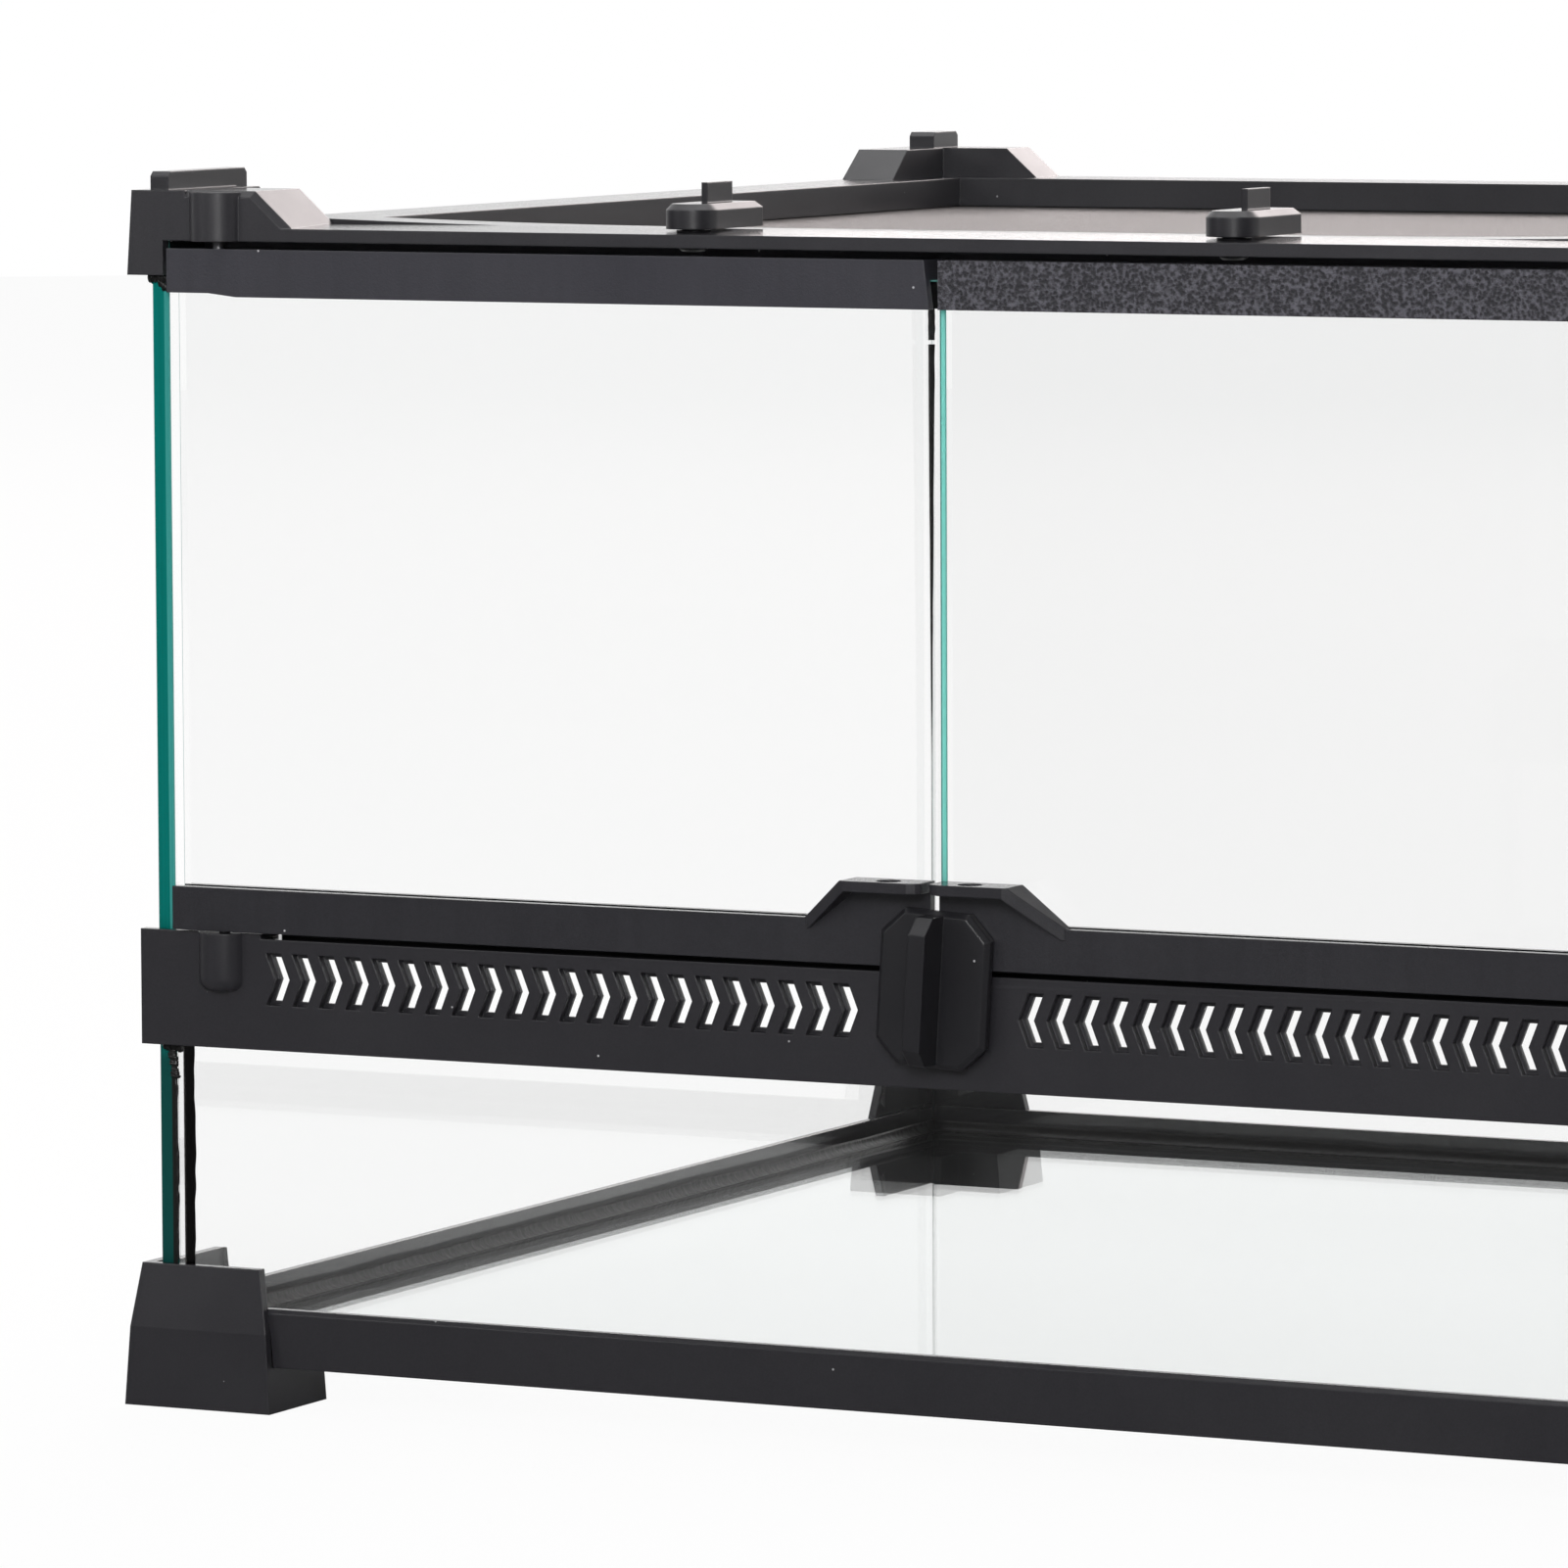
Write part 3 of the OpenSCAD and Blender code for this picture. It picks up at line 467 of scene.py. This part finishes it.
# Black plastics: name, colour, grain as repeats in a metre, shares of pits and of flow marks,
# depth of the grain, share of dust, and radius of the rounded edges
SMOOTH_BLACK = moulded_plastic(
    "satin_black", (0.0195, 0.0188, 0.0222), 2600.0, 0.0, 0.15, 0.06 * MM, 0.7, 0.5 * MM)
# A paler copy of the satin black for the top frame and the lid's frame: the extra paleness is painted
# light on their faces from the front
FRAME_BLACK_PAINTED_LIGHT = moulded_plastic(
    "frame_black_painted_light", (0.0255, 0.0248, 0.0285), 2600.0, 0.0, 0.3, 0.08 * MM, 0.6, 0.5 * MM)
GRAINED_BLACK = moulded_plastic(
    "grained_black", (0.078, 0.0765, 0.090), 2500.0, 1.2, 0.3, 0.9 * MM, 0.4, 0.4 * MM,
    mottle=0.62, raised=1.0)
# The streaked black of the door trims comes in two copies: the upper trim's is paler as painted light
# from above, and the lower trims' is darker as painted shade
STREAKED_PAINTED_LIGHT = moulded_plastic(
    "streaked_black_painted_light", (0.033, 0.0325, 0.040), 1900.0, 0.3, 1.2, 0.12 * MM, 0.8, 0.4 * MM,
    mottle=0.07)
STREAKED_PAINTED_SHADE = moulded_plastic(
    "streaked_black_painted_shade", (0.0195, 0.019, 0.0228), 2200.0, 0.3, 0.5, 0.12 * MM, 0.9, 0.4 * MM,
    mottle=0.15)
LATCH_BLACK = moulded_plastic(
    "latch_black", (0.0125, 0.0122, 0.0145), 2600.0, 0.0, 0.2, 0.06 * MM, 0.9, 0.6 * MM)

# Glass: name, tint and index of refraction of the faces
FACE = clear_glass("float_glass", (0.998, 1.0, 0.999, 1.0), 1.44)
SIDE_FACE = clear_glass("side_float_glass", (0.998, 1.0, 0.999, 1.0), 1.33)
FLOOR_FACE = clear_glass("floor_float_glass", (0.970, 0.995, 0.990, 1.0), 1.40)

# Cut edges: name, deep and pale colour of the streaks, roughness, and colour under the vent bar
DEEP_EDGE = glass_edge(
    "glass_edge_deep", (0.0, 0.10, 0.085), (0.002, 0.16, 0.14), 0.25, (0.004, 0.05, 0.045))
SIDE_EDGE = glass_edge(
    "glass_edge_side", (0.02, 0.19, 0.17), (0.05, 0.28, 0.26), 0.25, (0.012, 0.013, 0.012))
DOOR_EDGE = glass_edge(
    "glass_edge_door", (0.36, 0.90, 0.82), (0.60, 1.00, 0.96), 0.3, (0.02, 0.2, 0.18))
GROUND = glass_edge(
    "glass_ground_edge", (0.02, 0.16, 0.14), (0.12, 0.34, 0.31), 0.35, (0.01, 0.05, 0.045))

SEALANT = sealant("black_sealant", (0.006, 0.0057, 0.0057))
# The same sealant made paler for the front corners: painted light that falls on them from the front
FRONT_SEALANT_PAINTED_LIGHT = sealant("front_sealant_painted_light", (0.058, 0.053, 0.052))

# Wire: name, colour, share of metal, roughness
STEEL = metal_wire("pin_steel", (0.20, 0.20, 0.21), 1.0, 0.4)
NET_PAINT = metal_wire("net_paint", (0.19, 0.175, 0.172), 0.1, 0.42)
# A darker, duller copy of the net's wire: painted shade on the sides of the wires and on the lower
# layer
NET_PAINTED_SHADE = metal_wire("net_wire_painted_shade", (0.025, 0.024, 0.0235), 0.0, 0.85, shine=0.1)

PLASTIC_FINISH = {
    "right_door_top_trim": GRAINED_BLACK, "right_door_bottom_trim": STREAKED_PAINTED_SHADE,
    "left_door_top_trim": STREAKED_PAINTED_LIGHT, "left_door_bottom_trim": STREAKED_PAINTED_SHADE,
    "latch_knob": LATCH_BLACK, "top_frame": FRAME_BLACK_PAINTED_LIGHT, "screen_frame": FRAME_BLACK_PAINTED_LIGHT,
}
SLOT_FINISH = {"black_plastic": SMOOTH_BLACK, "pane_glass": FACE, "black_silicone": SEALANT,
               "pin_steel": STEEL, "net_wire": NET_PAINT}

for part in frame["record"]["subparts"]:
    node = frame["nodes"][part["node"]]
    finish = PLASTIC_FINISH.get(part["node"], SLOT_FINISH[part["material_slot"]])
    node.data.materials.clear()
    node.data.materials.append(finish)


# Glass panes

def glass_pane(node, body, face, split, first_band, second_band):
    """A pane in place of its solid: the outline carried through the thickness, narrower by the
    ground arris at both faces. The two faces are clear, and the two bands that show the edge
    meet at the given share of the thickness."""
    low, high = (np.array(corner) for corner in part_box(node))
    thin = int(np.argmin(high - low))
    u, v = [axis for axis in range(3) if axis != thin]
    rings = []
    thick = high[thin] - low[thin]
    for depth, inset in ((0.0, ARRIS), (ARRIS, 0.0), (split * thick, 0.0),
                         (thick - ARRIS, 0.0), (thick, ARRIS)):
        ring = np.zeros((4, 3))
        ring[:, thin] = low[thin] + depth
        ring[:, u] = np.array([low[u] + inset, high[u] - inset, high[u] - inset, low[u] + inset])
        ring[:, v] = np.array([low[v] + inset, low[v] + inset, high[v] - inset, high[v] - inset])
        rings.append(ring)
    rings = np.array(rings)
    faces = closed_loft(rings)
    # The arris, the two bands, the other arris and the two faces
    rows = [3] * 4 + [1] * 4 + [2] * 4 + [3] * 4 + [0, 0]
    # Through Y the outline turns the other way round
    if thin == 1:
        faces = [loop[::-1] for loop in faces]
    piece = mesh_object(node + "_pane", rings, faces, [face, first_band, second_band, GROUND], rows)
    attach(piece, body)
    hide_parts(node)


glass_pane("floor_glass", "tank", FLOOR_FACE, 0.5, DEEP_EDGE, DEEP_EDGE)
glass_pane("side_glass_left", "tank", SIDE_FACE, 0.68, DEEP_EDGE, SIDE_EDGE)
glass_pane("side_glass_right", "tank", SIDE_FACE, 0.32, SIDE_EDGE, DEEP_EDGE)
glass_pane("rear_glass", "tank", FACE, 0.5, DEEP_EDGE, DEEP_EDGE)
glass_pane("front_lower_glass", "tank", FACE, 0.5, DEEP_EDGE, DEEP_EDGE)
glass_pane("left_door_glass", "left_door", FACE, 0.5, DOOR_EDGE, DOOR_EDGE)
glass_pane("right_door_glass", "right_door", FACE, 0.5, DOOR_EDGE, DOOR_EDGE)


# Sealant

def sealant_bead(corner, along, side_a, side_b, length, widths, seed, steps=90, arc=7):
    """Rings of a bead in a corner, a hollow fillet between two walls. Its legs waver along its
    length and change from the first to the second width. Over a quarter turn, a point lies along
    one wall by its leg times one less the sine, and along the other by its leg times one less
    the cosine."""
    corner, along, side_a, side_b = (np.array(v, dtype=float) for v in (corner, along, side_a, side_b))
    t = np.linspace(0.0, 1.0, steps)
    width = widths[0] + (widths[1] - widths[0]) * t
    leg_a = width * (1 + waver(t, seed, BEAD_WAVER))
    leg_b = width * (1 + waver(t, seed + 1, BEAD_WAVER))
    turn = np.linspace(0, np.pi / 2, arc)
    reach_a = leg_a[:, None] * (1 - np.sin(turn))[None, :]
    reach_b = leg_b[:, None] * (1 - np.cos(turn))[None, :]
    base = corner + along * (t * length)[:, None]
    rim = (base[:, None, :] + side_a * reach_a[..., None] + side_b * reach_b[..., None])
    return np.concatenate([base[:, None, :], rim], axis=1)


def inner_walls():
    """Where the inner faces of the glass lie: left and right, front and rear, and the floor."""
    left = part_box("side_glass_left")[1].x
    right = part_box("side_glass_right")[0].x
    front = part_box("front_lower_glass")[1].y
    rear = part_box("rear_glass")[0].y
    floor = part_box("floor_glass")[1].z
    return left, right, front, rear, floor


def sealant_seams():
    """All the beads of the tank as one piece: four along the floor, one up each front corner,
    and three up each rear corner, a hair, a widening part, and a wide part above the break."""
    left, right, front, rear, floor = inner_walls()
    low_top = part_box("front_lower_glass")[1].z
    high_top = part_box("silicone_seams")[1].z
    gap_low, gap_high, fine = BREAK_HEIGHT - BREAK_HALF, BREAK_HEIGHT + BREAK_HALF, FINE_HEIGHT
    swollen = FRONT_SWELL * BEAD
    runs = [
        ((left, front, floor), (1, 0, 0), (0, 1, 0), (0, 0, 1), right - left, BEAD, BEAD),
        ((right, rear, floor), (-1, 0, 0), (0, -1, 0), (0, 0, 1), right - left, BEAD, BEAD),
        ((left, rear, floor), (0, -1, 0), (1, 0, 0), (0, 0, 1), rear - front, BEAD, BEAD),
        ((right, front, floor), (0, 1, 0), (-1, 0, 0), (0, 0, 1), rear - front, BEAD, BEAD),
        ((left, front, floor), (0, 0, 1), (1, 0, 0), (0, 1, 0), low_top - floor, BEAD, swollen),
        ((right, front, floor), (0, 0, 1), (0, 1, 0), (-1, 0, 0), low_top - floor, BEAD, swollen),
        ((left, rear, floor), (0, 0, 1), (0, -1, 0), (1, 0, 0), fine - floor, THIN, THIN),
        ((right, rear, floor), (0, 0, 1), (-1, 0, 0), (0, -1, 0), fine - floor, THIN, THIN),
        ((left, rear, fine), (0, 0, 1), (0, -1, 0), (1, 0, 0), gap_low - fine, THIN, WIDE),
        ((right, rear, fine), (0, 0, 1), (-1, 0, 0), (0, -1, 0), gap_low - fine, THIN, WIDE),
        ((left, rear, gap_high), (0, 0, 1), (0, -1, 0), (1, 0, 0), high_top - gap_high, WIDE, WIDE),
        ((right, rear, gap_high), (0, 0, 1), (-1, 0, 0), (0, -1, 0), high_top - gap_high, WIDE, WIDE),
    ]
    # The places in the list of the two runs up the front corners, whose sealant is paler as painted
    # light from the front
    lit_front_corners = (4, 5)
    points, faces, rows, first = [], [], [], 0
    for number, (corner, along, side_a, side_b, length, start, end) in enumerate(runs):
        rings = sealant_bead(corner, along, side_a, side_b, length, (start, end), SEED + 10 * number)
        faces += closed_loft(rings, first)
        rows += [1 if number in lit_front_corners else 0] * (len(faces) - len(rows))
        points.append(rings.reshape(-1, 3))
        first += rings.shape[0] * rings.shape[1]
    piece = mesh_object("sealant_beads", np.concatenate(points), faces, [SEALANT, FRONT_SEALANT_PAINTED_LIGHT],
                        rows, smooth=True)
    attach(piece, "tank")
    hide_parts("silicone_seams")


sealant_seams()


def lumpy_rings(path, across, forward, radius_across, radius_forward, arc=10):
    """A tube round a path whose section is an ellipse: its two radii change from point to point
    and close to nothing at both ends. Its faces point outwards where across, forward and the
    path follow each other as X, Y and Z do."""
    turn = np.linspace(0.0, 2 * np.pi, arc, endpoint=False)
    side = np.array(across)[None, None, :] * (radius_across[:, None] * np.cos(turn))[..., None]
    front = np.array(forward)[None, None, :] * (radius_forward[:, None] * np.sin(turn))[..., None]
    return path[:, None, :] + side + front


def sealant_smears():
    """Sealant that was pressed out at the front end of the left pane: tubes of wavering path and
    swelling section, lumps under the corner block and the vent bar and a thin line below. Each
    row gives where a tube starts and ends in x and in z, and its two radii in millimetres."""
    pane_low, pane_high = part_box("side_glass_left")
    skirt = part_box("top_frame")[0].z
    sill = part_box("vent_bar")[0].z
    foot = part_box("foot_front_left")[1].z
    steps = 70
    t = np.linspace(0.0, 1.0, steps)
    ends = np.sqrt(np.clip(np.minimum(t, 1 - t) / SMEAR_END, 0.0, 1.0))
    ends = ends * (1 - SMEAR_TIP) + SMEAR_TIP
    near, far = pane_low.x, pane_high.x
    tubes = [
        (near - 1.2 * MM, far + 0.6 * MM, skirt - 0.6 * MM, skirt - 1.0 * MM, 1.3, 0.9),
        (near + 2.0 * MM, far - 0.4 * MM, skirt - 1.6 * MM, skirt - 3.4 * MM, 1.2, 0.7),
        (near + 1.0 * MM, far + 1.8 * MM, sill - 0.3 * MM, sill - 0.9 * MM, 1.2, 0.9),
        (far - 1.4 * MM, far - 0.2 * MM, sill - 0.8 * MM, sill - 9.0 * MM, 1.2, 0.7),
        (far - 0.2 * MM, far - 0.1 * MM, sill - 8.0 * MM, foot + 0.4 * MM, 0.42, 0.4),
    ]
    points, faces, first = [], [], 0
    for number, (x_from, x_to, z_from, z_to, wide, thick) in enumerate(tubes):
        wide, thick = wide * MM, thick * MM
        path = np.zeros((steps, 3))
        path[:, 0] = x_from + (x_to - x_from) * t + waver(t, SEED + 200 + number, SMEAR_WANDER)
        path[:, 1] = pane_low.y - SMEAR_PROUD
        path[:, 2] = z_from + (z_to - z_from) * t
        level = abs(x_to - x_from) > abs(z_to - z_from)
        across = (0.0, 0.0, 1.0) if level else (1.0, 0.0, 0.0)
        swell = 1 + waver(t, SEED + 300 + number, SMEAR_SWELL, waves=12)
        rings = lumpy_rings(path, across, (0.0, -1.0, 0.0), wide * swell * ends, thick * swell * ends)
        faces += closed_loft(rings, first)
        points.append(rings.reshape(-1, 3))
        first += rings.shape[0] * rings.shape[1]
    piece = mesh_object("sealant_smears", np.concatenate(points), faces, [SEALANT], smooth=True)
    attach(piece, "tank")


sealant_smears()


# Woven net

def woven_net():
    """Straight coated wires at an equal pitch in two layers that touch: each is a section of four
    points carried from edge to edge, a diamond along X and a flatter block along Y above."""
    low, high = (np.array(corner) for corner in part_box("screen_net"))
    middle = (low[2] + high[2]) / 2
    sections = (np.array([(-1, 0), (0, -1), (1, 0), (0, 1)]) * NET_WIRE,
                np.array([(-CROSS_WIDTH, -CROSS_DEPTH), (CROSS_WIDTH, -CROSS_DEPTH),
                          (CROSS_WIDTH, CROSS_DEPTH), (-CROSS_WIDTH, CROSS_DEPTH)]) * NET_WIRE)
    # Only the upper face of the wires along Y shows the paler wire colour; their other faces and all
    # the wires along X take the darker copy, a painted shade
    slots = ([1] * 6, [1, 1, 0, 1, 1, 1])
    points, faces, rows, first = [], [], [], 0
    for axis in (0, 1):
        other = 1 - axis
        count = int((high[other] - low[other] - 2 * NET_WIRE) / NET_PITCH)
        spots = low[other] + NET_WIRE + NET_PITCH * (0.5 + np.arange(count))
        rings = np.zeros((count, 2, 4, 3))
        rings[:, 0, :, axis] = low[axis]
        rings[:, 1, :, axis] = high[axis]
        rings[..., other] = spots[:, None, None] + sections[axis][:, 0]
        rings[..., 2] = middle + (axis - 0.5) * NET_WIRE * LAYER_STEP + sections[axis][:, 1]
        for wire in rings:
            wire_faces = closed_loft(wire, first)
            # Along Y the section turns the other way round the wire, which would turn it inside out
            if axis == 1:
                wire_faces = [face[::-1] for face in wire_faces]
            faces += wire_faces
            rows += slots[axis]
            first += 8
        points.append(rings.reshape(-1, 3))
    piece = mesh_object("woven_net", np.concatenate(points), faces, [NET_PAINT, NET_PAINTED_SHADE], rows)
    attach(piece, "screen_lid")
    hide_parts("screen_net")


woven_net()


# Floor, backdrop, light and camera

def mirror_dimmer(tree, place):
    """One, and less for a ray that a surface has mirrored towards the front, where the studio is
    dark; place gives how far forward the ray ends or points, along -Y."""
    path = add_node(tree, "ShaderNodeLightPath").outputs
    front = carried(tree, parts_of(tree, place)["Y"], FRONT_FADE)
    mirrored = math_of(tree, "MINIMUM", path["Glossy Depth"], 1.0)
    dimmed = math_of(tree, "MULTIPLY", front, mirrored)
    return path, carried(tree, dimmed, (0.0, 1.0), (1.0, FRONT_DIM))


def seen_rays(tree, path):
    """One for the rays of the camera, of mirrors and through glass."""
    seen = math_of(tree, "MAXIMUM", path["Is Camera Ray"], path["Is Transmission Ray"])
    return math_of(tree, "MAXIMUM", seen, path["Is Glossy Ray"])


def white_to_the_eye(name, kept):
    """White where the camera, a mirror or glass looks at it, with a share of real shade kept."""
    material, tree, shader = new_material(name)
    shader.inputs["Base Color"].default_value = (0.9, 0.9, 0.9, 1.0)
    shader.inputs["Roughness"].default_value = 0.8
    path, strength = mirror_dimmer(tree, own_place(tree))
    glow = add_node(tree, "ShaderNodeEmission", Strength=strength)
    share = math_of(tree, "MULTIPLY", seen_rays(tree, path), 1.0 - kept)
    mix = add_node(tree, "ShaderNodeMixShader", Fac=share)
    tree.links.new(shader.outputs["BSDF"], mix.inputs[1])
    tree.links.new(glow.outputs["Emission"], mix.inputs[2])
    tree.links.new(mix.outputs["Shader"], tree.nodes["Material Output"].inputs["Surface"])
    return material


def stage_sheet(name, points, material):
    """A stage surface: quads between the neighbours of a grid of points."""
    rows, count = points.shape[:2]
    i, j = np.meshgrid(np.arange(rows - 1), np.arange(count - 1), indexing="ij")
    quads = np.stack([i * count + j, i * count + j + 1, (i + 1) * count + j + 1,
                      (i + 1) * count + j], -1).reshape(-1, 4)
    mesh_object(name, points, quads.tolist(), [material])


def make_stage():
    """A flat square floor, and a backdrop that is part of an upright cylinder far behind."""
    side = np.linspace(-FLOOR_REACH, FLOOR_REACH, 3)
    x, y = np.meshgrid(side, side, indexing="xy")
    floor = np.stack([x, y, np.zeros_like(x)], -1)
    stage_sheet("floor", floor, white_to_the_eye("floor_white", FLOOR_SHADE))
    turn = np.radians(np.linspace(-WALL_TURN, WALL_TURN, 33))
    height = np.linspace(WALL_FOOT, WALL_TOP, 5)
    a, z = np.meshgrid(turn, height, indexing="xy")
    wall = np.stack([WALL_RADIUS * np.sin(a), WALL_RADIUS * np.cos(a), z], -1)
    stage_sheet("backdrop", wall, white_to_the_eye("backdrop_white", 0.0))


def softbox(name, place, target, size, power, color):
    """An area lamp at a place, turned to face the target."""
    lamp = bpy.data.lights.new(name, "AREA")
    lamp.shape = "RECTANGLE"
    lamp.size, lamp.size_y = size
    lamp.energy = power
    lamp.color = color
    holder = bpy.data.objects.new(name, lamp)
    bpy.context.collection.objects.link(holder)
    direction = Vector(target) - Vector(place)
    holder.rotation_euler = direction.to_track_quat("-Z", "Y").to_euler()
    holder.location = place
    holder.visible_camera = False
    holder.visible_transmission = False


def studio_world():
    """An even grey room that looks white to the camera, in mirrors and through glass."""
    world = bpy.data.worlds.new("studio")
    bpy.context.scene.world = world
    world.use_nodes = True
    tree = world.node_tree
    light = tree.nodes["Background"]
    light.inputs["Color"].default_value = ROOM_GREY
    direction = add_node(tree, "ShaderNodeTexCoord").outputs["Generated"]
    path, strength = mirror_dimmer(tree, direction)
    white = add_node(tree, "ShaderNodeBackground", Color=WHITE, Strength=strength)
    mix = add_node(tree, "ShaderNodeMixShader", Fac=seen_rays(tree, path))
    tree.links.new(light.outputs["Background"], mix.inputs[1])
    tree.links.new(white.outputs["Background"], mix.inputs[2])
    tree.links.new(mix.outputs["Shader"], tree.nodes["World Output"].inputs["Surface"])


def photo_camera():
    """The photograph's camera: its place, turn, dip and roll as a rotation matrix."""
    yaw, dip, roll = (math.radians(v) for v in (CAMERA_TURN, CAMERA_DIP, CAMERA_ROLL))
    ahead = Vector((-math.sin(yaw) * math.cos(dip), math.cos(yaw) * math.cos(dip), -math.sin(dip)))
    right = Vector((math.cos(yaw), math.sin(yaw), 0.0))
    up = right.cross(ahead)
    right, up = (math.cos(roll) * right + math.sin(roll) * up,
                 math.cos(roll) * up - math.sin(roll) * right)
    data = bpy.data.cameras.new("photo_camera")
    data.sensor_width = CAMERA_SENSOR
    data.lens = CAMERA_LENS
    data.clip_end = CAMERA_REACH
    camera = bpy.data.objects.new("photo_camera", data)
    bpy.context.collection.objects.link(camera)
    turn = Matrix((right, up, -ahead)).transposed()
    camera.matrix_world = Matrix.Translation(CAMERA_PLACE) @ turn.to_4x4()
    bpy.context.scene.camera = camera


make_stage()
studio_world()
for lamp in LAMPS:
    softbox(*lamp)
photo_camera()
bpy.context.scene.view_settings.view_transform = "Standard"
